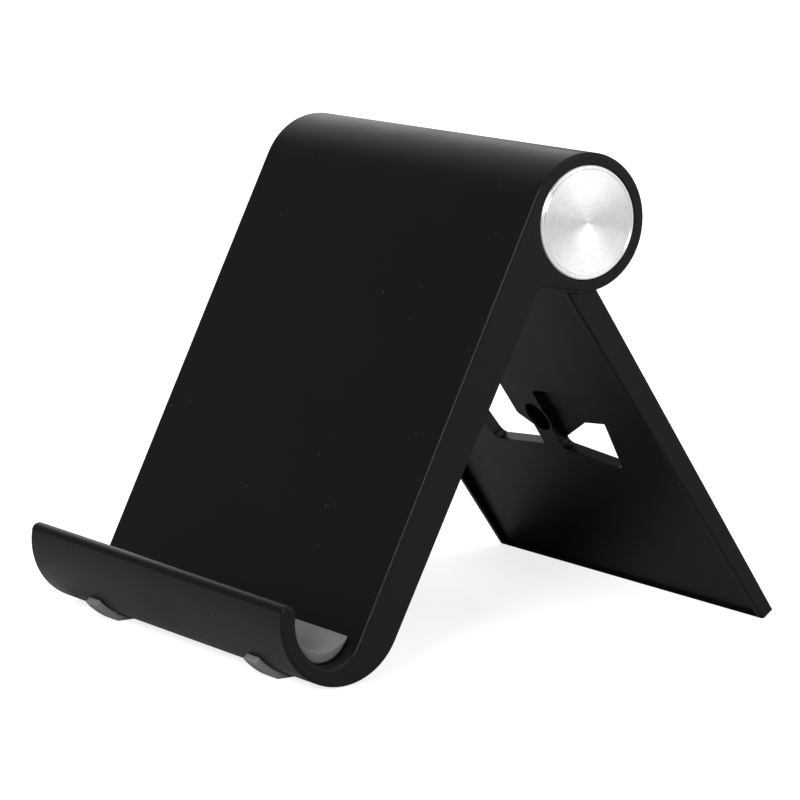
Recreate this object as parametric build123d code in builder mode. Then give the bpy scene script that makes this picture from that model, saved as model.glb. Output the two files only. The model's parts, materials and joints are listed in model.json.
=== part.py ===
"""Folding desktop stand for a phone or small tablet.

A front cradle with a turned-up lip and a rounded hood hinges on a flat rear leg. The two open into
an A-frame and fold flat, the leg nesting in the back of the cradle. Millimetres, +Z up, +X to the
viewer's right, +Y towards the back. The origin is on the table, under the middle of the stand.
"""

import os
from math import atan2, cos, degrees, radians, sin, sqrt, tan

from build123d import *

# Overall
WIDTH = 80.0
AXIS_HEIGHT = 69.45
AXIS_Y = 9.37
FACE_ANGLE = 63.6
LEG_ANGLE = 55.2

# Cradle
BARREL_R = 11.15
HOOD_WALL = 2.35
HOOD_END_ANGLE = -28.0
EAR_WIDTH = 7.0
RIM_WIDTH = 1.7
RIM_OFFSET = 3.73
RIM_TAPER = 1.08
EAR_WEB_ANGLE = -15.0
EAR_FILLET = 2.0
EDGE_R = 0.5
TRAY_LENGTH = 79.6

# Trough at the foot of the cradle
TROUGH_ALONG = 73.1
TROUGH_OUT = 16.26
TROUGH_R = 11.15
TROUGH_WALL = 3.15
TROUGH_FILLET = 5.0
LIP_SET_BACK = 0.5
LIP_START = 2.8
LINER_LENGTH = 73.4
LINER_HOLLOW_R = 6.0
LINER_HOLLOW_CENTRE = (0.2, 1.0)
LINER_TOP = 1.9
GLUE_LINE = 0.05

# Rubber feet under the trough
FOOT_WIDTH = 3.6
FOOT_PROUD = 1.25
FOOT_CENTRES = {"left": -22.8, "right": 27.4}
FOOT_FRONT_ANGLE = 22.0
FOOT_REAR_ANGLE = -56.0

# Leg
LEG_WIDTH = 76.0
LEG_INNER = 8.43
LEG_OUTER = 3.25
LEG_TAPER = 1.82
LEG_EDGE_R = 0.35
KNUCKLE_R = 8.4
KNUCKLE_LENGTH = 65.0
KNUCKLE_BORE_R = 2.4
NECK_LENGTH = 13.0
EAR_CLEARANCE = 0.4
PANEL_WALL = 1.9
FLANGE_WIDTH = 1.2
TIP_OUTER_R = 1.9
TIP_INNER_R = 0.6

# Pockets and eyelet in the leg: corners across and down it, drawn for the +X side. Each pocket is
# open through the leg except where a thin web stays, which reaches further across on the right.
POCKET_CORNERS = [(2.9, 36.6), (22.0, 34.3), (18.5, 51.0), (2.7, 49.3)]
POCKET_ROUNDS = [1.0, 5.0, 1.5, 1.0]
WEB_CORNERS = {
    "left": [(0, 30.0), (9.3, 30.0), (8.6, 44.4), (2.7, 48.0), (0, 48.0)],
    "right": [(0, 30.0), (30.0, 30.0), (30.0, 40.8), (12.3, 42.9), (2.7, 48.0), (0, 48.0)],
}
WEB_ROUND = 1.0
WEB_WALL = 0.7
EYELET_AT = 42.9
EYELET_R = 3.4
EYELET_HOLE_R = 2.9
EYELET_FLOOR = 0.5

# Hinge hardware, one set at each end of the barrel
DISC_POCKET_R = 9.3
DISC_POCKET_DEPTH = 1.0
DISC_R = 9.14
DISC_THICK = 0.9
DISC_BEVEL = 0.25
DISC_GROOVE_R = 8.55
DISC_GROOVE = 0.15
TAPE_THICK = 0.2
TAPE_MARGIN = 0.5
TAPE_INNER_R = 4.8
HEAD_POCKET_R = 4.5
HEAD_POCKET_DEPTH = 2.75
BUSH_OUTER_R = 3.1
BUSH_INNER_R = 2.05
SCREW_R = 2.0
SCREW_LENGTH = 9.0
SCREW_HEAD_R = 3.7
SCREW_HEAD_THICK = 1.3
SCREW_SOCKET = 2.5
SCREW_SOCKET_DEPTH = 0.9
FLAT_WASHER_THICK = 0.5
FLAT_WASHER_R = 4.1
SPRING_WASHER_THICK = 0.8
SPRING_WASHER_R = 3.8
SPRING_SHEET = 0.35
INSERT_R = 3.2
INSERT_LENGTH = 6.5
INSERT_BEVEL = 0.3
FRICTION_R = 7.4
FIT = 0.05

SIDES = (("left", -1), ("right", 1))

os.makedirs("parts", exist_ok=True)

# Sections are drawn in two side planes through the hinge axis. In the cradle's plane local x runs
# down the front face and local y stands out of it; in the leg's plane local x runs down the leg
# and local y points to its outer side. The offset planes move them along X.
face = radians(FACE_ANGLE)
leg = radians(LEG_ANGLE)
half = WIDTH / 2
ear_inner = half - EAR_WIDTH
tray_half = half - RIM_WIDTH
leg_half = LEG_WIDTH / 2
knuckle_half = KNUCKLE_LENGTH / 2
hood_inner = BARREL_R - HOOD_WALL
disc_back = half - DISC_POCKET_DEPTH + TAPE_THICK
head_floor = half - DISC_POCKET_DEPTH - HEAD_POCKET_DEPTH
spring_seat = head_floor + FLAT_WASHER_THICK + 2 * FIT
head_seat = spring_seat + SPRING_WASHER_THICK + FIT
leg_length = (AXIS_HEIGHT - LEG_INNER * cos(leg) + TIP_INNER_R * (sin(leg) + cos(leg) - 1)) / sin(leg)
hinge_axis = Axis((0, AXIS_Y, AXIS_HEIGHT), (1, 0, 0))


def cradle_plane(x=0.0):
    """Side plane of the cradle, cut across at x; its normal is -X."""
    return Plane(origin=(x, AXIS_Y, AXIS_HEIGHT), x_dir=(0, -cos(face), -sin(face)), z_dir=(-1, 0, 0))


def leg_plane(x=0.0):
    """Side plane of the leg, cut across at x; its normal is +X."""
    return Plane(origin=(x, AXIS_Y, AXIS_HEIGHT), x_dir=(0, cos(leg), -sin(leg)), z_dir=(1, 0, 0))


def end_plane(x, side):
    """Plane across the hinge axis, facing outwards on the given side."""
    return Plane(origin=(side * x, AXIS_Y, AXIS_HEIGHT), x_dir=(0, side, 0), z_dir=(side, 0, 0))


def panel_plane(depth):
    """Plane parallel to the leg's outer face and depth mm inside it; local x is +X, y runs down it."""
    tilt = leg + radians(LEG_TAPER)
    outward = Vector(0, sin(tilt), cos(tilt))
    origin = Vector(0, AXIS_Y, AXIS_HEIGHT) - outward * (LEG_OUTER * cos(radians(LEG_TAPER)) + depth)
    return Plane(origin=origin, x_dir=(1, 0, 0), z_dir=outward)


def polar(radius, angle):
    """Point at a radius and an angle in degrees."""
    return (radius * cos(radians(angle)), radius * sin(radians(angle)))


# Trough section, about the trough's own centre: a flat face line, a fillet and a round bottom
trough_inner = TROUGH_R - TROUGH_WALL
face_level = BARREL_R - TROUGH_OUT
fillet_centre = (sqrt((trough_inner - TROUGH_FILLET) ** 2 - (face_level + TROUGH_FILLET) ** 2),
                 face_level + TROUGH_FILLET)
fillet_end_angle = degrees(atan2(fillet_centre[1], fillet_centre[0]))
lip_middle = TROUGH_R - TROUGH_WALL / 2
set_back = (-LIP_SET_BACK * cos(radians(45)), -LIP_SET_BACK * sin(radians(45)))
lip_angle = degrees(atan2(sqrt(lip_middle ** 2 - LIP_START ** 2), LIP_START))
lip_crown = (polar(lip_middle, lip_angle)[0] - TROUGH_WALL / 2 * sin(radians(lip_angle)),
             polar(lip_middle, lip_angle)[1] + TROUGH_WALL / 2 * cos(radians(lip_angle)))
back_angle = -90 + RIM_TAPER

# Corner where the web under each ear, tangent to the barrel, meets the back of the side rim
ear_web = radians(EAR_WEB_ANGLE)
rim_slope = tan(radians(RIM_TAPER))
web_along = (BARREL_R - RIM_OFFSET * sin(ear_web)) / (cos(ear_web) + rim_slope * sin(ear_web))
web_corner = (web_along, RIM_OFFSET + rim_slope * web_along)


def leg_outer_at(along):
    """Distance from the hinge axis to the leg's outer face, along mm down the leg."""
    return LEG_OUTER + along * tan(radians(LEG_TAPER))


def is_side_edge(edge):
    """Whether an edge runs down the leg at either side."""
    return abs(abs(edge.center().X) - leg_half) < 0.01 and edge.length > leg_length / 2


def from_trough(point):
    """Moves a point from the trough's centre to the cradle's section plane."""
    return (point[0] + TROUGH_ALONG, point[1] + TROUGH_OUT)


def from_outer(point):
    """Moves a point from the centre of the trough's outer round to the cradle's section plane."""
    return from_trough((point[0] + set_back[0], point[1] + set_back[1]))


# Cradle: one moulding of front plate, side rims, turned-up lip, hood and end ears
with BuildPart() as cradle_shell:
    with BuildSketch(cradle_plane(half)) as side_section:
        with BuildLine():
            face_line = Line((0, BARREL_R), from_trough((fillet_centre[0], face_level)))
            bend = ThreePointArc(
                face_line @ 1,
                from_trough((fillet_centre[0] + polar(TROUGH_FILLET, -45)[0],
                             fillet_centre[1] + polar(TROUGH_FILLET, -45)[1])),
                from_trough(polar(trough_inner, fillet_end_angle)))
            inside = ThreePointArc(
                bend @ 1,
                from_trough(polar(trough_inner, lip_angle / 2)),
                from_trough(polar(trough_inner, lip_angle)))
            crown = ThreePointArc(
                inside @ 1,
                from_trough(lip_crown),
                from_outer(polar(TROUGH_R, lip_angle)))
            outside = ThreePointArc(
                crown @ 1,
                from_outer(polar(TROUGH_R, 0)),
                from_outer(polar(TROUGH_R, back_angle)))
            back_line = Line(outside @ 1, (0, RIM_OFFSET))
            Line(back_line @ 1, (0, BARREL_R))
        make_face()
        Circle(BARREL_R)
        with BuildLine():
            Polyline((0, 0), polar(BARREL_R, EAR_WEB_ANGLE), web_corner, (0, RIM_OFFSET), close=True)
        make_face()
        corner = side_section.vertices().sort_by_distance(cradle_plane(half).from_local_coords(web_corner))
        fillet(corner[0], EAR_FILLET)
    extrude(amount=WIDTH)
    outline = cradle_shell.edges().filter_by(lambda e: abs(abs(e.center().X) - half) < 0.01)
    fillet(outline, EDGE_R)
    with BuildSketch(cradle_plane(tray_half)):
        with Locations((TRAY_LENGTH / 2, hood_inner - 10)):
            Rectangle(TRAY_LENGTH, 20)
        Circle(BARREL_R, mode=Mode.SUBTRACT)
    extrude(amount=2 * tray_half, mode=Mode.SUBTRACT)
    with BuildSketch(cradle_plane(ear_inner)):
        Circle(hood_inner)
        with BuildLine():
            Polyline(
                (0, 0), (0, hood_inner), (30, hood_inner), (30, -30),
                polar(30, 180 + FACE_ANGLE - HOOD_END_ANGLE), close=True)
        make_face()
    extrude(amount=2 * ear_inner, mode=Mode.SUBTRACT)
    for side in (-1, 1):
        with BuildSketch(end_plane(half, side)):
            Circle(DISC_POCKET_R)
        extrude(amount=-DISC_POCKET_DEPTH, mode=Mode.SUBTRACT)
        with BuildSketch(end_plane(half, side)):
            Circle(HEAD_POCKET_R)
        extrude(amount=-DISC_POCKET_DEPTH - HEAD_POCKET_DEPTH, mode=Mode.SUBTRACT)
        with BuildSketch(end_plane(half, side)):
            Circle(BUSH_OUTER_R)
        extrude(amount=-EAR_WIDTH, mode=Mode.SUBTRACT)
cradle_shell.part.label = "cradle_shell"
export_step(cradle_shell.part, "parts/cradle_shell.step")

# Liner: a soft rubber strip that fills the trough's bottom, thick at the middle and thin at both lips
with BuildPart() as trough_liner:
    with BuildSketch(cradle_plane(LINER_LENGTH / 2)):
        with BuildLine():
            liner_r = trough_inner - GLUE_LINE
            liner_fillet = TROUGH_FILLET - GLUE_LINE
            plate_side = Line(
                from_trough((LINER_TOP, face_level + GLUE_LINE)),
                from_trough((fillet_centre[0], face_level + GLUE_LINE)))
            seat_bend = ThreePointArc(
                plate_side @ 1,
                from_trough((fillet_centre[0] + polar(liner_fillet, -45)[0],
                             fillet_centre[1] + polar(liner_fillet, -45)[1])),
                from_trough(polar(liner_r, fillet_end_angle)))
            lip_side_angle = degrees(atan2(sqrt(liner_r ** 2 - LINER_TOP ** 2), LINER_TOP))
            seat_round = ThreePointArc(
                seat_bend @ 1,
                from_trough(polar(liner_r, lip_side_angle / 2)),
                from_trough(polar(liner_r, lip_side_angle)))
            Line(seat_round @ 1, plate_side @ 0)
        make_face()
        with Locations(from_trough(LINER_HOLLOW_CENTRE)):
            Circle(LINER_HOLLOW_R, mode=Mode.SUBTRACT)
    extrude(amount=LINER_LENGTH)
trough_liner.part.label = "trough_liner"
export_step(trough_liner.part, "parts/trough_liner.step")

# Feet: two rubber straps round the trough's underside, cut flat where they stand on the table
for name, centre in FOOT_CENTRES.items():
    with BuildPart() as foot:
        with BuildSketch(cradle_plane(centre + FOOT_WIDTH / 2)):
            with Locations(from_outer((0, 0))):
                Circle(TROUGH_R + FOOT_PROUD)
                Circle(TROUGH_R + GLUE_LINE, mode=Mode.SUBTRACT)
            with BuildLine():
                Polyline(
                    from_trough((0, 0)),
                    from_trough(polar(30, FOOT_FRONT_ANGLE)),
                    from_trough(polar(30, (FOOT_FRONT_ANGLE + FOOT_REAR_ANGLE) / 2)),
                    from_trough(polar(30, FOOT_REAR_ANGLE)),
                    close=True)
            make_face(mode=Mode.INTERSECT)
        extrude(amount=FOOT_WIDTH)
        split(bisect_by=Plane.XY, keep=Keep.TOP)
    foot.part.label = f"foot_{name}"
    export_step(foot.part, f"parts/foot_{name}.step")

# Leg: a shallow tray with a round knuckle along its top and an eyelet between two openings
with BuildPart() as leg_shell:
    with BuildSketch(leg_plane(-leg_half)) as slab:
        with BuildLine():
            Polyline(
                (0, -LEG_INNER), (leg_length, -LEG_INNER), (leg_length, -leg_outer_at(leg_length)),
                (0, -LEG_OUTER), close=True)
        make_face()
        tip = slab.vertices().sort_by(Axis.Z)[:2].sort_by(Axis.Y)
        fillet(tip[0], TIP_INNER_R)
        fillet(tip[1], TIP_OUTER_R)
        Circle(BARREL_R + EAR_CLEARANCE, mode=Mode.SUBTRACT)
    extrude(amount=LEG_WIDTH)
    fillet(leg_shell.edges().filter_by(is_side_edge), LEG_EDGE_R)
    with BuildSketch(panel_plane(PANEL_WALL)):
        Rectangle(LEG_WIDTH - 2 * FLANGE_WIDTH, 2 * leg_length)
    extrude(amount=-LEG_INNER, mode=Mode.SUBTRACT)
    with BuildSketch(leg_plane(-knuckle_half)):
        Circle(KNUCKLE_R)
        with BuildLine():
            Polyline(
                (0, -LEG_OUTER), (NECK_LENGTH, -leg_outer_at(NECK_LENGTH)),
                (NECK_LENGTH, -leg_outer_at(NECK_LENGTH) - PANEL_WALL), (0, -LEG_OUTER - PANEL_WALL),
                close=True)
        make_face()
    extrude(amount=KNUCKLE_LENGTH)
    for name, side in SIDES:
        with BuildSketch(panel_plane(PANEL_WALL)):
            with BuildLine():
                FilletPolyline(
                    *[(side * x, y) for x, y in POCKET_CORNERS], radius=POCKET_ROUNDS, close=True)
            make_face()
        extrude(amount=PANEL_WALL - WEB_WALL, mode=Mode.SUBTRACT)
        with BuildSketch(panel_plane(PANEL_WALL)):
            with BuildLine():
                FilletPolyline(
                    *[(side * x, y) for x, y in POCKET_CORNERS], radius=POCKET_ROUNDS, close=True)
            make_face()
            with BuildLine():
                FilletPolyline(
                    *[(side * x, y) for x, y in WEB_CORNERS[name]], radius=WEB_ROUND, close=True)
            make_face(mode=Mode.SUBTRACT)
        extrude(amount=PANEL_WALL + 1, mode=Mode.SUBTRACT)
    with BuildSketch(panel_plane(PANEL_WALL)):
        with Locations((0, EYELET_AT)):
            Circle(EYELET_R)
    extrude(amount=PANEL_WALL)
    with BuildSketch(panel_plane(PANEL_WALL)):
        with Locations((0, EYELET_AT)):
            Circle(EYELET_HOLE_R)
    extrude(amount=PANEL_WALL - EYELET_FLOOR, mode=Mode.SUBTRACT)
    for side in (-1, 1):
        with BuildSketch(end_plane(knuckle_half, side)):
            Circle(INSERT_R + GLUE_LINE)
        extrude(amount=-INSERT_LENGTH - GLUE_LINE, mode=Mode.SUBTRACT)
    with BuildSketch(end_plane(knuckle_half, 1)):
        Circle(KNUCKLE_BORE_R)
    extrude(amount=-KNUCKLE_LENGTH, mode=Mode.SUBTRACT)
leg_shell.part.label = "leg_shell"
export_step(leg_shell.part, "parts/leg_shell.step")

# Hinge hardware at each end of the barrel, from the outside in
for name, side in SIDES:
    # End disc: a thin turned plate with a bevelled rim and one fine groove near it
    with BuildPart() as end_disc:
        with BuildSketch(end_plane(disc_back, side)):
            Circle(DISC_R)
        extrude(amount=DISC_THICK)
        with BuildSketch(end_plane(disc_back + DISC_THICK, side)):
            Circle(DISC_GROOVE_R + DISC_GROOVE / 2)
            Circle(DISC_GROOVE_R - DISC_GROOVE / 2, mode=Mode.SUBTRACT)
        extrude(amount=-DISC_GROOVE, mode=Mode.SUBTRACT)
        rim = end_disc.edges().filter_by(GeomType.CIRCLE).group_by(SortBy.RADIUS)[-1]
        chamfer(rim.sort_by(Axis.X)[-1 if side > 0 else 0], DISC_BEVEL)
    end_disc.part.label = f"end_disc_{name}"
    export_step(end_disc.part, f"parts/end_disc_{name}.step")

    # Ring of double-sided tape that holds the disc in its pocket
    with BuildPart() as disc_tape:
        with BuildSketch(end_plane(half - DISC_POCKET_DEPTH, side)):
            Circle(DISC_R - TAPE_MARGIN)
            Circle(TAPE_INNER_R, mode=Mode.SUBTRACT)
        extrude(amount=TAPE_THICK)
    disc_tape.part.label = f"disc_tape_{name}"
    export_step(disc_tape.part, f"parts/disc_tape_{name}.step")

    # Steel bush in the ear, in which the pivot screw turns
    with BuildPart() as pivot_bush:
        with BuildSketch(end_plane(ear_inner, side)):
            Circle(BUSH_OUTER_R - FIT)
            Circle(BUSH_INNER_R, mode=Mode.SUBTRACT)
        extrude(amount=head_floor - ear_inner)
    pivot_bush.part.label = f"pivot_bush_{name}"
    export_step(pivot_bush.part, f"parts/pivot_bush_{name}.step")

    # Dished spring washer under the screw head, which keeps the hinge stiff
    with BuildPart() as spring_washer:
        with BuildSketch(Plane(origin=(side * spring_seat, AXIS_Y, AXIS_HEIGHT), x_dir=(side, 0, 0),
                               z_dir=(0, -side, 0))):
            with BuildLine():
                Polyline(
                    (0, SPRING_WASHER_R), (SPRING_SHEET, SPRING_WASHER_R),
                    (SPRING_WASHER_THICK, BUSH_INNER_R + FIT),
                    (SPRING_WASHER_THICK - SPRING_SHEET, BUSH_INNER_R + FIT), close=True)
            make_face()
        revolve(axis=hinge_axis)
    spring_washer.part.label = f"spring_washer_{name}"
    export_step(spring_washer.part, f"parts/spring_washer_{name}.step")

    # Flat washer between the spring and the bush
    with BuildPart() as flat_washer:
        with BuildSketch(end_plane(head_floor + FIT, side)):
            Circle(FLAT_WASHER_R)
            Circle(SCREW_R + FIT, mode=Mode.SUBTRACT)
        extrude(amount=FLAT_WASHER_THICK)
    flat_washer.part.label = f"flat_washer_{name}"
    export_step(flat_washer.part, f"parts/flat_washer_{name}.step")

    # Nylon friction washer between the ear and the knuckle
    with BuildPart() as friction_washer:
        with BuildSketch(end_plane(knuckle_half, side)):
            Circle(FRICTION_R)
            Circle(SCREW_R + FIT, mode=Mode.SUBTRACT)
        extrude(amount=ear_inner - knuckle_half - FIT)
    friction_washer.part.label = f"friction_washer_{name}"
    export_step(friction_washer.part, f"parts/friction_washer_{name}.step")

    # Brass threaded insert in the end of the knuckle
    with BuildPart() as thread_insert:
        with BuildSketch(end_plane(knuckle_half, side)):
            Circle(INSERT_R)
            Circle(SCREW_R + FIT / 2, mode=Mode.SUBTRACT)
        extrude(amount=-INSERT_LENGTH)
        insert_rims = thread_insert.edges().filter_by(GeomType.CIRCLE).group_by(SortBy.RADIUS)[-1]
        chamfer(insert_rims, INSERT_BEVEL)
    thread_insert.part.label = f"thread_insert_{name}"
    export_step(thread_insert.part, f"parts/thread_insert_{name}.step")

# Pivot screws with hexagon sockets
with BuildPart() as pivot_screws:
    for side in (-1, 1):
        with BuildSketch(end_plane(head_seat, side)):
            Circle(SCREW_HEAD_R)
        extrude(amount=SCREW_HEAD_THICK)
        with BuildSketch(end_plane(head_seat, side)):
            Circle(SCREW_R)
        extrude(amount=-SCREW_LENGTH)
        with BuildSketch(end_plane(head_seat + SCREW_HEAD_THICK, side)):
            RegularPolygon(radius=SCREW_SOCKET / 2, side_count=6, major_radius=False)
        extrude(amount=-SCREW_SOCKET_DEPTH, mode=Mode.SUBTRACT)
pivot_screws.part.label = "pivot_screws"
export_step(pivot_screws.part, "parts/pivot_screws.step")
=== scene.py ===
"""Folding desktop stand for a phone or small tablet, finished as the real one is made."""

import json
from math import cos, hypot, pi, radians, sin, tau

import bmesh
import bpy
from mathutils import Matrix, Vector
from mathutils.bvhtree import BVHTree


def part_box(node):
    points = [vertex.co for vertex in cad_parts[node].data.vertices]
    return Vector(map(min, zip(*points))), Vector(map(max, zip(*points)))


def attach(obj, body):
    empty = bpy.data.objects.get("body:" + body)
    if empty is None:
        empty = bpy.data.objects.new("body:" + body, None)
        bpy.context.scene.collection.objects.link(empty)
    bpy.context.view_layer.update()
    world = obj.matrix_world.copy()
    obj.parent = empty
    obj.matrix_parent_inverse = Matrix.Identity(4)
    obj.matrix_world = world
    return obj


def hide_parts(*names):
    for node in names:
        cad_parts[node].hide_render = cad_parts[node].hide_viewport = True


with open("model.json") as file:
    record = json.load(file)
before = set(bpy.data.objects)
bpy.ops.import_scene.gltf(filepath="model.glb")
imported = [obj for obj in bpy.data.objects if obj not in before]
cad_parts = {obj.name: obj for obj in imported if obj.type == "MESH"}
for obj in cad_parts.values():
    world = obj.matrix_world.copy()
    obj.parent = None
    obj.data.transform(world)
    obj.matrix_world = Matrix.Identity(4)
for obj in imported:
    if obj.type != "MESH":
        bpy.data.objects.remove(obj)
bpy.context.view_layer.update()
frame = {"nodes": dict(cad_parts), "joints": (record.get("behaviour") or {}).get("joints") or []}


# Cradle and leg. Two injection mouldings in black ABS: the cradle is the front plate, trough, lip
# and hood in one piece, and the leg is a shallow tray. The mould's fine satin texture leaves them
# neither glossy nor dull, and a new stand carries only a few specks of dust.
def put(tree, kind, inputs=None, **settings):
    """Adds a node, sets its options, then links or fills its inputs."""
    node = tree.nodes.new(kind)
    for name, value in settings.items():
        setattr(node, name, value)
    for name, value in (inputs or {}).items():
        if isinstance(value, bpy.types.NodeSocket):
            tree.links.new(value, node.inputs[name])
        else:
            node.inputs[name].default_value = value
    return node


def effect(name, inputs, outputs):
    """An empty shader group with named inputs and outputs, and the sockets inside it."""
    group = bpy.data.node_groups.new(name, "ShaderNodeTree")
    for label, kind, value in inputs:
        socket = group.interface.new_socket(label, in_out="INPUT", socket_type=kind)
        if value is not None:
            socket.default_value = value
    for label, kind in outputs:
        group.interface.new_socket(label, in_out="OUTPUT", socket_type=kind)
    return group, put(group, "NodeGroupInput").outputs, put(group, "NodeGroupOutput").inputs


mould_grain, given, made = effect(
    "mould_grain",
    [("Place", "NodeSocketVector", None), ("Grain", "NodeSocketFloat", 6000.0),
     ("Cloud", "NodeSocketFloat", 70.0)],
    [("Height", "NodeSocketFloat"), ("Cloudiness", "NodeSocketFloat")])
pits = put(mould_grain, "ShaderNodeTexVoronoi", {"Vector": given["Place"], "Scale": given["Grain"]},
           feature="SMOOTH_F1")
fuzz = put(mould_grain, "ShaderNodeTexNoise", {
    "Vector": given["Place"], "Scale": given["Grain"], "Detail": 2.0})
skin = put(mould_grain, "ShaderNodeMath", {0: pits.outputs["Distance"], 1: fuzz.outputs["Fac"]},
           operation="ADD")
cloud = put(mould_grain, "ShaderNodeTexNoise", {
    "Vector": given["Place"], "Scale": given["Cloud"], "Detail": 4.0, "Roughness": 0.6})
mould_grain.links.new(skin.outputs[0], made["Height"])
mould_grain.links.new(cloud.outputs["Fac"], made["Cloudiness"])

dust, given, made = effect(
    "dust",
    [("Place", "NodeSocketVector", None), ("Spacing", "NodeSocketFloat", 420.0),
     ("Size", "NodeSocketFloat", 0.04), ("Share", "NodeSocketFloat", 0.3)],
    [("Dust", "NodeSocketFloat")])
specks = put(dust, "ShaderNodeTexVoronoi", {"Vector": given["Place"], "Scale": given["Spacing"]})
near = put(dust, "ShaderNodeMath", {0: specks.outputs["Distance"], 1: given["Size"]},
           operation="LESS_THAN")
pick = put(dust, "ShaderNodeSeparateColor", {0: specks.outputs["Color"]})
chosen = put(dust, "ShaderNodeMath", {0: pick.outputs[0], 1: given["Share"]}, operation="LESS_THAN")
kept = put(dust, "ShaderNodeMath", {0: near.outputs[0], 1: chosen.outputs[0]}, operation="MULTIPLY")
dust.links.new(kept.outputs[0], made["Dust"])


def moulded(name, colour, roughness, specular, grain, depth, dusty, edge):
    """A moulded surface: grained, softly rounded at its edges, a little cloudy and dusty."""
    material = bpy.data.materials.new(name)
    material.use_nodes = True
    tree = material.node_tree
    shader = tree.nodes["Principled BSDF"]
    place = put(tree, "ShaderNodeTexCoord").outputs["Object"]
    dust_colour = (0.15, 0.14, 0.13, 1)
    gloss_spread = 0.03
    skin = put(tree, "ShaderNodeGroup", {"Place": place, "Grain": grain}, node_tree=mould_grain)
    specks = put(tree, "ShaderNodeGroup", {"Place": place, "Share": dusty}, node_tree=dust)
    shade = put(tree, "ShaderNodeMapRange", {
        "Value": skin.outputs["Cloudiness"], "From Min": 0.3, "From Max": 0.7, "To Min": 0.88,
        "To Max": 1.12})
    tone = put(tree, "ShaderNodeVectorMath", {0: colour, "Scale": shade.outputs[0]}, operation="SCALE")
    surface = put(tree, "ShaderNodeMix", {
        0: specks.outputs["Dust"], 6: tone.outputs[0], 7: dust_colour}, data_type="RGBA")
    gloss = put(tree, "ShaderNodeMapRange", {
        "Value": skin.outputs["Cloudiness"], "From Min": 0.3, "From Max": 0.7,
        "To Min": roughness - gloss_spread, "To Max": roughness + gloss_spread})
    rounded = put(tree, "ShaderNodeBevel", {"Radius": edge}, samples=4)
    bump = put(tree, "ShaderNodeBump", {
        "Height": skin.outputs["Height"], "Distance": depth, "Normal": rounded.outputs[0]})
    tree.links.new(surface.outputs[2], shader.inputs["Base Color"])
    tree.links.new(gloss.outputs[0], shader.inputs["Roughness"])
    tree.links.new(bump.outputs[0], shader.inputs["Normal"])
    shader.inputs["Specular IOR Level"].default_value = specular
    return material


black_plastic = moulded("black_plastic", (0.0026, 0.0022, 0.0022), roughness=0.38, specular=0.16,
                        grain=7000.0, depth=4e-6, dusty=0.35, edge=3e-4)
for name in ("cradle_shell", "leg_shell"):
    for slot in frame["nodes"][name].material_slots:
        slot.material = black_plastic

# Trough liner. One soft grey rubber strip with a round hollow, cut to length and glued into the
# bottom of the trough, where it grips the device's lower edge. Its cut ends are slightly rounded.
# The hollow's middle is placed from the hinge: down along the plate, and off its face.
hinge = Vector(frame["joints"][0]["pos_m"])
face_lean = radians(63.6)
down_plate = Vector((0, -cos(face_lean), -sin(face_lean)))
off_plate = Vector((0, -sin(face_lean), cos(face_lean)))
hollow_down = 0.0733
hollow_off = 0.01726
hollow_centre = hinge + hollow_down * down_plate + hollow_off * off_plate
liner_sweep = radians(146.4)
liner_steps = 56
liner_round = 0.0004
round_steps = 4
thin_share = 0.3
past_wall = 1e-5
liner_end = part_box("trough_liner")[0].x
shape = bmesh.new()
shape.from_mesh(frame["nodes"]["trough_liner"].data)
liner_walls = BVHTree.FromBMesh(shape)
shape.free()
# Along each spoke, one ray meets the hollow's wall and a second the strip's glued back.
section = []
for i in range(liner_steps + 1):
    turn = liner_sweep * (i / liner_steps - 0.5)
    outwards = cos(turn) * down_plate + sin(turn) * off_plate
    hollow = liner_walls.ray_cast(hollow_centre, outwards)[3]
    behind = liner_walls.ray_cast(hollow_centre + outwards * (hollow + past_wall), outwards)[3]
    section.append((outwards, hollow, hollow + behind + past_wall))
# Each hoop of the strip has a place across the stand and an inset, which rounds the cut ends.
ends = []
for i in range(round_steps, -1, -1):
    turn = pi / 2 * i / round_steps
    ends.append((liner_end + liner_round * (1 - sin(turn)), liner_round * (1 - cos(turn))))
ends += [(-x, inset) for x, inset in reversed(ends)]
shape = bmesh.new()
hoops = []
for x, inset in ends:
    inside, outside = [], []
    for outwards, hollow, back in section:
        take = min(inset, thin_share * (back - hollow))
        across = Vector((x, hollow_centre.y, hollow_centre.z))
        inside.append(shape.verts.new(across + outwards * (hollow + take)))
        outside.append(shape.verts.new(across + outwards * (back - take)))
    hoops.append(inside + outside[::-1])
for near_hoop, far_hoop in zip(hoops, hoops[1:]):
    for i in range(len(near_hoop)):
        shape.faces.new((near_hoop[i - 1], near_hoop[i], far_hoop[i], far_hoop[i - 1]))
for hoop in (hoops[0], hoops[-1]):
    for i in range(liner_steps):
        shape.faces.new((hoop[i], hoop[i + 1], hoop[-i - 2], hoop[-i - 1]))


def finished(name, shape, material, body, slot, *nodes):
    """Turns a piece's faces outwards, smooths it between sharp edges and sets it on its body."""
    bmesh.ops.recalc_face_normals(shape, faces=shape.faces)
    mesh = bpy.data.meshes.new(name)
    shape.to_mesh(mesh)
    shape.free()
    mesh.shade_smooth()
    mesh.set_sharp_from_angle(angle=radians(32))
    mesh.materials.append(material)
    piece = bpy.data.objects.new(name, mesh)
    bpy.context.scene.collection.objects.link(piece)
    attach(piece, body)
    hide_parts(*nodes)


liner_rubber = moulded("liner_rubber", (0.125, 0.123, 0.118), roughness=0.7, specular=0.35,
                       grain=3500.0, depth=1.2e-5, dusty=0.2, edge=2e-4)
finished("liner", shape, liner_rubber, "cradle", "liner_rubber", "trough_liner")

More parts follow.
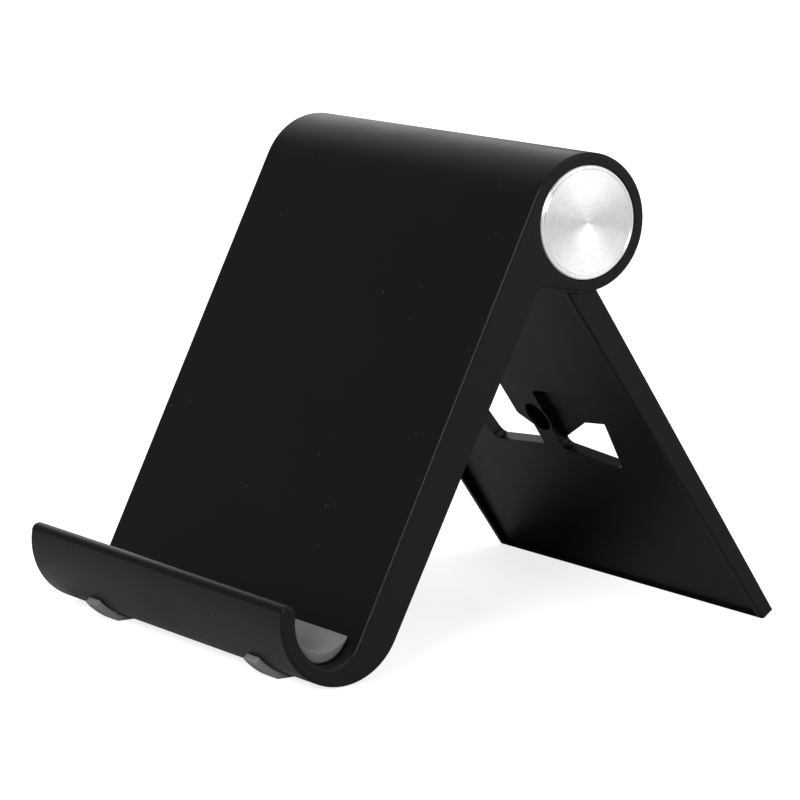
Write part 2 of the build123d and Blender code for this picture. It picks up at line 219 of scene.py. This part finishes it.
# Feet. Two dark grey rubber straps glued round the underside of the trough, ground flat where they
# stand on the table. Rubber has no sharp corners, so every edge is broken.
foot_rubber = moulded("foot_rubber", (0.19, 0.19, 0.193), roughness=0.62, specular=0.4,
                      grain=3000.0, depth=1.5e-5, dusty=0.3, edge=2e-4)
foot_edge = 0.00025
for side in ("left", "right"):
    node = f"foot_{side}"
    shape = bmesh.new()
    shape.from_mesh(frame["nodes"][node].data)
    bmesh.ops.remove_doubles(shape, verts=shape.verts, dist=1e-6)
    bmesh.ops.dissolve_limit(shape, angle_limit=radians(1), verts=shape.verts, edges=shape.edges)
    corners = [edge for edge in shape.edges if edge.calc_face_angle(0) > radians(40)]
    bmesh.ops.bevel(shape, geom=corners, offset=foot_edge, segments=3, profile=0.5, affect="EDGES")
    finished(f"foot_strap_{side}", shape, foot_rubber, "cradle", "foot_rubber", node)

# End discs. Thin aluminium discs turned on a lathe: a bevelled rim lifted by a painted highlight, one
# fine groove inside it, and a face brushed in circles that throws the light in wedges from the centre.
turning_marks, given, made = effect(
    "turning_marks",
    [("Place", "NodeSocketVector", None), ("Cuts", "NodeSocketFloat", 5000.0)],
    [("Height", "NodeSocketFloat"), ("Streaks", "NodeSocketFloat"), ("Radius", "NodeSocketFloat")])
parts = put(turning_marks, "ShaderNodeSeparateXYZ", {0: given["Place"]})
flat = put(turning_marks, "ShaderNodeCombineXYZ", {1: parts.outputs["Y"], 2: parts.outputs["Z"]})
radius = put(turning_marks, "ShaderNodeVectorMath", {0: flat.outputs[0]}, operation="LENGTH")
cuts = put(turning_marks, "ShaderNodeTexNoise", {
    "W": radius.outputs["Value"], "Scale": given["Cuts"], "Detail": 3.0, "Roughness": 0.65},
    noise_dimensions="1D")
bearing = put(turning_marks, "ShaderNodeVectorMath", {0: flat.outputs[0]}, operation="NORMALIZE")
pull = put(turning_marks, "ShaderNodeVectorMath", {0: bearing.outputs[0], "Scale": 0.0006},
           operation="SCALE")
streaks = put(turning_marks, "ShaderNodeTexNoise", {
    "Vector": pull.outputs[0], "W": radius.outputs["Value"], "Scale": given["Cuts"],
    "Detail": 2.0}, noise_dimensions="4D")
turning_marks.links.new(cuts.outputs["Fac"], made["Height"])
turning_marks.links.new(streaks.outputs["Fac"], made["Streaks"])
turning_marks.links.new(radius.outputs["Value"], made["Radius"])


def turned_metal(name, colour, rough, depth, cuts, spread, rim=1.0):
    """Bare metal brushed in circles round the hinge axis; outside radius rim the roughness is evened and
    the colour raised, a painted highlight.
    """
    material = bpy.data.materials.new(name)
    material.use_nodes = True
    tree = material.node_tree
    # Outside radius rim the colour is lifted by this factor: a painted highlight on the rim.
    painted_rim_highlight = 1.12
    rim_roughness = 0.5
    shader = tree.nodes["Principled BSDF"]
    shader.inputs["Metallic"].default_value = 1
    shader.inputs["Anisotropic"].default_value = spread
    shader.inputs["Anisotropic Rotation"].default_value = 0.25
    place = put(tree, "ShaderNodeTexCoord").outputs["Object"]
    centred = put(tree, "ShaderNodeMapping", {"Vector": place, "Location": (0, -hinge.y, -hinge.z)})
    marks = put(tree, "ShaderNodeGroup", {"Place": centred.outputs[0], "Cuts": cuts},
                node_tree=turning_marks)
    gloss = put(tree, "ShaderNodeMapRange", {
        "Value": marks.outputs["Streaks"], "From Min": 0.3, "From Max": 0.7, "To Min": rough[0],
        "To Max": rough[1]})
    shade = put(tree, "ShaderNodeMapRange", {
        "Value": marks.outputs["Streaks"], "From Min": 0.25, "From Max": 0.75, "To Min": 0.9,
        "To Max": 1.04})
    outside = put(tree, "ShaderNodeMath", {0: marks.outputs["Radius"], 1: rim},
                  operation="GREATER_THAN")
    streak_tone_and_painted_highlight = put(tree, "ShaderNodeMix", {0: outside.outputs[0], 2: shade.outputs[0], 3: painted_rim_highlight})
    even = put(tree, "ShaderNodeMix", {0: outside.outputs[0], 2: gloss.outputs[0], 3: rim_roughness})
    tone = put(tree, "ShaderNodeVectorMath", {0: colour, "Scale": streak_tone_and_painted_highlight.outputs[0]}, operation="SCALE")
    bump = put(tree, "ShaderNodeBump", {"Height": marks.outputs["Height"], "Distance": depth})
    brushed = put(tree, "ShaderNodeTangent", direction_type="UV_MAP", uv_map="turning")
    tree.links.new(tone.outputs[0], shader.inputs["Base Color"])
    tree.links.new(even.outputs[0], shader.inputs["Roughness"])
    tree.links.new(bump.outputs[0], shader.inputs["Normal"])
    tree.links.new(brushed.outputs[0], shader.inputs["Tangent"])
    return material


def turned(profile, side, segments=96):
    """A turned shape on the hinge axis, from (distance out, radius) pairs; a third value gives flats.

    Its "turning" chart runs once round across and outwards up, which is how the brushing lies.
    """
    shape = bmesh.new()
    chart = shape.loops.layers.uv.new("turning")
    chart_scale = 50
    rings = []
    for out, reach, *flats in profile:
        ring = []
        for i in range(segments):
            turn = tau * i / segments
            spoke = reach
            if flats:
                spoke = reach / cos(turn % (tau / flats[0]) - pi / flats[0])
            if reach > 0 or i == 0:
                ring.append(shape.verts.new((side * out, hinge.y + spoke * cos(turn),
                                             hinge.z + spoke * sin(turn))))
            else:
                ring.append(ring[0])
        rings.append(ring)
    steps = list(zip(rings, rings[1:]))
    if profile[0][1] > 0:
        steps.append((rings[-1], rings[0]))
    for near_ring, far_ring in steps:
        for i in range(segments):
            j = (i + 1) % segments
            marks = [(near_ring[i], i), (near_ring[j], i + 1), (far_ring[j], i + 1), (far_ring[i], i)]
            panel = shape.faces.new(list(dict.fromkeys(vertex for vertex, mark in marks)))
            for loop in panel.loops:
                mark = next(mark for vertex, mark in marks if vertex == loop.vert)
                spot = loop.vert.co
                out_from_axis = hypot(spot.y - hinge.y, spot.z - hinge.z)
                loop[chart].uv = (mark / segments, chart_scale * out_from_axis)
    return shape


disc_low, disc_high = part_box("end_disc_right")
disc_r = (disc_high.z - disc_low.z) / 2
# Width of the band inside the disc's edge whose colour is raised: a painted highlight.
painted_highlight_band = 0.00052
spun_aluminium = turned_metal("spun_aluminium", (0.8, 0.797, 0.785), rough=(0.24, 0.38), depth=5e-6,
                              cuts=5200.0, spread=0.85, rim=disc_r - painted_highlight_band)
disc_back, disc_front = disc_low.x, disc_high.x
back_edge = 0.0001
# The rim and groove are (depth below the face, distance in from the rim), the centre (depth, radius).
rolled_rim = [(0.0003, 0), (0.00012, 0.00009), (0.00003, 0.0002), (0, 0.00032)]
groove = [(0, 0.00046), (0.0001, 0.00054), (0.0001, 0.00064), (0.00003, 0.00074), (0.00003, 0.001)]
centre_mark = [(0.00006, disc_r / 2), (0.00007, 0.0004), (0.0001, 0.00025), (0.00012, 0)]
disc_profile = [(disc_back, 0), (disc_back, disc_r - back_edge), (disc_back + back_edge, disc_r)]
disc_profile += [(disc_front - sunk, disc_r - inset) for sunk, inset in rolled_rim + groove]
disc_profile += [(disc_front - sunk, radius) for sunk, radius in centre_mark]
for name, side in (("left", -1), ("right", 1)):
    finished(f"spun_disc_{name}", turned(disc_profile, side, 192), spun_aluminium, "cradle",
             "disc_aluminium", f"end_disc_{name}")

# Tape rings, friction washers. White closed-cell foam tape holds each disc in its pocket, and a
# natural nylon washer lies between ear and leg so that the hinge moves stiffly without squeaking.
foam_tape = moulded("foam_tape", (0.72, 0.71, 0.67), roughness=0.85, specular=0.3, grain=1800.0,
                    depth=2.5e-5, dusty=0.4, edge=1e-4)
nylon = moulded("nylon", (0.78, 0.77, 0.72), roughness=0.45, specular=0.5, grain=5000.0,
                depth=4e-6, dusty=0.2, edge=1e-4)
tape_bore = 0.0048
screw_hole = 0.00205


def ring_profile(node, bore, chamfer):
    """Section of a flat ring that fills a node's box, with its bore and broken edges."""
    low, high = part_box(node)
    rim = (high.z - low.z) / 2
    return [(low.x, bore + chamfer), (low.x, rim - chamfer), (low.x + chamfer, rim),
            (high.x - chamfer, rim), (high.x, rim - chamfer), (high.x, bore + chamfer),
            (high.x - chamfer, bore), (low.x + chamfer, bore)]


for name, side in (("left", -1), ("right", 1)):
    finished(f"tape_ring_{name}", turned(ring_profile("disc_tape_right", tape_bore, 0.00003), side),
             foam_tape, "cradle", "foam_tape", f"disc_tape_{name}")
    finished(f"nylon_washer_{name}",
             turned(ring_profile("friction_washer_right", screw_hole, 0.0001), side),
             nylon, "leg", "nylon", f"friction_washer_{name}")

# Bushes and washers. Zinc-plated steel: a bush pressed in each ear, a flat washer against it, and a
# dished spring washer under the screw head that keeps the hinge clamped.
steel = turned_metal("steel", (0.6, 0.6, 0.61), rough=(0.3, 0.45), depth=4e-6, cuts=4000.0, spread=0.4)
spring_low, spring_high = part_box("spring_washer_right")
spring_sheet = 0.00035
spring_rim = 0.0038
spring_waist = 0.0029
spring_bore = 0.0021
spring_profile = [
    (spring_low.x, spring_rim - 0.0001), (spring_low.x + 0.0001, spring_rim),
    (spring_low.x + spring_sheet, spring_rim - 0.00002), (spring_low.x + 0.0006, spring_waist),
    (spring_high.x, spring_bore), (spring_high.x - spring_sheet, spring_bore),
    (spring_low.x + 0.0002, spring_waist)]
for name, side in (("left", -1), ("right", 1)):
    finished(f"steel_bush_{name}",
             turned(ring_profile("pivot_bush_right", screw_hole, 0.00015), side),
             steel, "cradle", "steel", f"pivot_bush_{name}")
    finished(f"plain_washer_{name}",
             turned(ring_profile("flat_washer_right", screw_hole, 0.00008), side),
             steel, "leg", "steel", f"flat_washer_{name}")
    finished(f"dished_washer_{name}", turned(spring_profile, side), steel, "leg", "steel",
             f"spring_washer_{name}")


# Pivot screws. Zinc-plated M4 screws with a low round head and a hexagon socket; the thread is one
# helical ridge round the shank, rolled to a fixed pitch.
def recipe(name, inputs):
    """An empty Geometry Nodes tree with named inputs, and its input sockets."""
    tree = bpy.data.node_groups.new(name, "GeometryNodeTree")
    tree.interface.new_socket("Geometry", in_out="OUTPUT", socket_type="NodeSocketGeometry")
    for label, kind in inputs:
        tree.interface.new_socket(label, in_out="INPUT", socket_type=kind)
    return tree, put(tree, "NodeGroupInput").outputs


def result(tree, kind, first, second=0.0):
    """The result of one Math node."""
    return put(tree, "ShaderNodeMath", {0: first, 1: second}, operation=kind).outputs[0]


def serve(tree, geometry, material):
    """Ends a recipe: instances made real, material set."""
    real = put(tree, "GeometryNodeRealizeInstances", {0: geometry})
    painted = put(tree, "GeometryNodeSetMaterial", {0: real.outputs[0], "Material": material})
    end = put(tree, "NodeGroupOutput")
    tree.links.new(painted.outputs[0], end.inputs[0])


def made_by(tree, **values):
    """The plain mesh that a recipe makes with these values."""
    stand_in = bpy.data.objects.new(tree.name, bpy.data.meshes.new(tree.name))
    bpy.context.scene.collection.objects.link(stand_in)
    modifier = stand_in.modifiers.new(tree.name, "NODES")
    modifier.node_group = tree
    for item in tree.interface.items_tree:
        if item.in_out == "INPUT" and item.name in values:
            modifier[item.identifier] = values[item.name]
    ready = bpy.context.evaluated_depsgraph_get()
    mesh = bpy.data.meshes.new_from_object(stand_in.evaluated_get(ready))
    bpy.data.objects.remove(stand_in)
    return mesh


screw_thread, given = recipe("screw_thread", [
    ("Length", "NodeSocketFloat"), ("Radius", "NodeSocketFloat"), ("Pitch", "NodeSocketFloat"),
    ("Depth", "NodeSocketFloat"), ("Rows", "NodeSocketInt"), ("Finish", "NodeSocketMaterial")])
sheet = put(screw_thread, "GeometryNodeMeshGrid", {
    "Size X": 1.0, "Size Y": 1.0, "Vertices X": given["Rows"], "Vertices Y": 37})
where = put(screw_thread, "GeometryNodeInputPosition")
spot = put(screw_thread, "ShaderNodeSeparateXYZ", {0: where.outputs[0]})
along = result(screw_thread, "ADD", spot.outputs[0], 0.5)
round_it = result(screw_thread, "ADD", spot.outputs[1], 0.5)
travel = result(screw_thread, "MULTIPLY", along, given["Length"])
turns = result(screw_thread, "DIVIDE", travel, given["Pitch"])
phase = result(screw_thread, "FRACT", result(screw_thread, "SUBTRACT", turns, round_it))
slope = result(screw_thread, "ABSOLUTE", result(screw_thread, "SUBTRACT", phase, 0.5))
ridge = put(screw_thread, "ShaderNodeMapRange", {
    "Value": slope, "From Min": 0.08, "From Max": 0.42, "To Min": 0.0, "To Max": 1.0})
cut = result(screw_thread, "MULTIPLY", ridge.outputs[0], given["Depth"])
open_reach = result(screw_thread, "SUBTRACT", given["Radius"], cut)
from_middle = result(screw_thread, "ABSOLUTE", spot.outputs[0])
within_ends = result(screw_thread, "LESS_THAN", from_middle, 0.4999)
reach = result(screw_thread, "MULTIPLY", open_reach, within_ends)
angle = result(screw_thread, "MULTIPLY", round_it, tau)
place = put(screw_thread, "ShaderNodeCombineXYZ", {
    0: travel,
    1: result(screw_thread, "MULTIPLY", reach, result(screw_thread, "COSINE", angle)),
    2: result(screw_thread, "MULTIPLY", reach, result(screw_thread, "SINE", angle))})
wound = put(screw_thread, "GeometryNodeSetPosition", {
    0: sheet.outputs[0], "Position": place.outputs[0]})
joined = put(screw_thread, "GeometryNodeMergeByDistance", {0: wound.outputs[0], "Distance": 1e-6})
serve(screw_thread, joined.outputs[0], given["Finish"])

screw_low, screw_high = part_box("pivot_screws")
head_r = (screw_high.z - screw_low.z) / 2
head_top = screw_high.x
head_under = head_top - 0.0013
head_edge = 0.0001
socket_r = 0.00125
socket_floor = head_top - 0.0009
thread_r = 0.002
screw_tip = head_under - 0.009
thread_length = 0.0057
shank_end = head_under - 0.0034
screws = bmesh.new()
for side in (-1, 1):
    head = turned([
        (head_under, 0), (head_under, head_r - head_edge), (head_under + head_edge, head_r),
        (head_top - 0.0003, head_r), (head_top - head_edge, head_r - head_edge),
        (head_top, head_r - 0.0003), (head_top, socket_r + 0.00035),
        (head_top - head_edge, socket_r, 6), (socket_floor, socket_r, 6), (socket_floor, 0)],
        side, 72)
    shank = turned([
        (shank_end, 0), (shank_end, thread_r - 0.0002), (shank_end + 0.0002, thread_r),
        (head_under, thread_r), (head_under, 0)], side, 36)
    thread = made_by(screw_thread, Length=thread_length, Radius=thread_r, Pitch=0.0007, Depth=0.0003,
                     Rows=66, Finish=steel)
    thread.transform(Matrix.Translation((screw_tip, hinge.y, hinge.z)))
    if side < 0:
        thread.transform(Matrix.Rotation(pi, 4, "Z") @ Matrix.Translation((0, -2 * hinge.y, 0)))
    for piece in (head, shank):
        mesh = bpy.data.meshes.new("screw_part")
        piece.to_mesh(mesh)
        piece.free()
        screws.from_mesh(mesh)
    screws.from_mesh(thread)
finished("socket_screws", screws, steel, "leg", "steel", "pivot_screws")

# Thread inserts. Turned brass bushes pressed into the ends of the leg's knuckle; a band of fine
# ribs round each one bites into the plastic and stops it turning.
brass = turned_metal("brass", (0.78, 0.56, 0.26), rough=(0.25, 0.4), depth=4e-6, cuts=4000.0, spread=0.4)
rib_band, given = recipe("rib_band", [
    ("Radius", "NodeSocketFloat"), ("Ribs", "NodeSocketInt"), ("Width", "NodeSocketFloat"),
    ("Length", "NodeSocketFloat"), ("Finish", "NodeSocketMaterial")])
ring = put(rib_band, "GeometryNodeMeshCircle", {
    "Vertices": given["Ribs"], "Radius": given["Radius"]})
rib = put(rib_band, "GeometryNodeMeshCylinder", {
    "Vertices": 4, "Radius": given["Width"], "Depth": given["Length"]})
where = put(rib_band, "GeometryNodeInputPosition")
facing = put(rib_band, "FunctionNodeAlignRotationToVector", {"Vector": where.outputs[0]},
             axis="X", pivot_axis="Z")
placed = put(rib_band, "GeometryNodeInstanceOnPoints", {
    "Points": ring.outputs[0], "Instance": rib.outputs[0], "Rotation": facing.outputs[0]})
serve(rib_band, placed.outputs[0], given["Finish"])
insert_low, insert_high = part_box("thread_insert_right")
insert_r = 0.0031
waist_r = 0.0028
insert_edge = 0.0002
waist_low = insert_low.x + 0.0028
waist_high = insert_low.x + 0.0035
for name, side in (("left", -1), ("right", 1)):
    insert = turned([
        (insert_low.x, screw_hole + 0.00005), (insert_low.x, waist_r),
        (insert_low.x + 0.0003, insert_r), (waist_low - insert_edge, insert_r),
        (waist_low, waist_r), (waist_high, waist_r), (waist_high + insert_edge, insert_r),
        (insert_high.x - insert_edge, insert_r), (insert_high.x, insert_r - insert_edge),
        (insert_high.x, screw_hole + 0.00015), (insert_high.x - insert_edge, screw_hole),
        (insert_low.x + 0.0001, screw_hole)], side, 72)
    for middle in (insert_low.x + 0.0014, insert_high.x - 0.0015):
        band = made_by(rib_band, Radius=insert_r - 0.00005, Ribs=44, Width=0.00014, Length=0.002,
                       Finish=brass)
        band.transform(Matrix.Translation((side * middle, hinge.y, hinge.z))
                       @ Matrix.Rotation(pi / 2, 4, "Y"))
        insert.from_mesh(band)
    finished(f"ribbed_insert_{name}", insert, brass, "leg", "brass", f"thread_insert_{name}")

# Studio. A plain pale table top, matt painted, under big soft lights. The camera stands to the
# right, a little above the stand, with a long lens. The table looks whiter than it lights the stand.
bpy.ops.mesh.primitive_plane_add(size=12)
floor = bpy.context.object
floor.name = "floor"
floor_paint = bpy.data.materials.new("floor_paint")
floor_paint.use_nodes = True
tree = floor_paint.node_tree
paint = tree.nodes["Principled BSDF"].inputs
paint["Base Color"].default_value = (0.6, 0.6, 0.595, 1)
paint["Roughness"].default_value = 0.9
paint["Emission Color"].default_value = (1, 1, 0.99, 1)
table_glow = 0.8
seen = put(tree, "ShaderNodeLightPath")
lift = put(tree, "ShaderNodeMath", {0: seen.outputs["Is Camera Ray"], 1: table_glow},
           operation="MULTIPLY")
tree.links.new(lift.outputs[0], paint["Emission Strength"])
floor.data.materials.append(floor_paint)


def soft_light(name, place, aim, size, power):
    """A rectangular soft light that faces its aim."""
    data = bpy.data.lights.new(name, "AREA")
    data.shape = "RECTANGLE"
    data.size, data.size_y = size
    data.energy = power
    lamp = bpy.data.objects.new(name, data)
    bpy.context.scene.collection.objects.link(lamp)
    lamp.location = place
    lamp.rotation_euler = (Vector(place) - Vector(aim)).to_track_quat("Z", "Y").to_euler()


soft_light("overhead", (0, 0, 1.5), (0, 0, 0), (1.6, 1.6), 14)
soft_light("back_left", (-1.3, 0.5, 0.5), (0, 0, 0.05), (0.8, 0.6), 2.2)
soft_light("back_right", (1.2, 0.9, 0.45), (0, 0, 0.05), (1.1, 1.1), 8.5)
soft_light("front_right", (0.75, -0.92, 0.65), (0, 0, 0.05), (0.42, 0.42), 12)
world = bpy.data.worlds.new("studio")
bpy.context.scene.world = world
world.use_nodes = True
world.node_tree.nodes["Background"].inputs["Color"].default_value = (1, 1, 1, 1)
world.node_tree.nodes["Background"].inputs["Strength"].default_value = 0.24

azimuth = radians(56.262)
elevation = radians(9.51)
roll = radians(-0.117)
aim = Vector((0.0008, 0.0007, 0.03705))
distance = 0.680
back = Vector((sin(azimuth) * cos(elevation), -cos(azimuth) * cos(elevation), sin(elevation)))
right = Vector((cos(azimuth), sin(azimuth), 0))
up = back.cross(right)
rolled_right = cos(roll) * right + sin(roll) * up
rolled_up = cos(roll) * up - sin(roll) * right
camera_data = bpy.data.cameras.new("camera")
camera_data.lens = 183.78
camera_data.sensor_width = 36
camera_data.shift_x = -0.00654
camera_data.shift_y = -0.00537
camera = bpy.data.objects.new("camera", camera_data)
bpy.context.scene.collection.objects.link(camera)
turn = Matrix((rolled_right, rolled_up, back)).transposed()
camera.matrix_world = Matrix.Translation(aim + back * distance) @ turn.to_4x4()
bpy.context.scene.camera = camera
bpy.context.scene.view_settings.view_transform = "Standard"
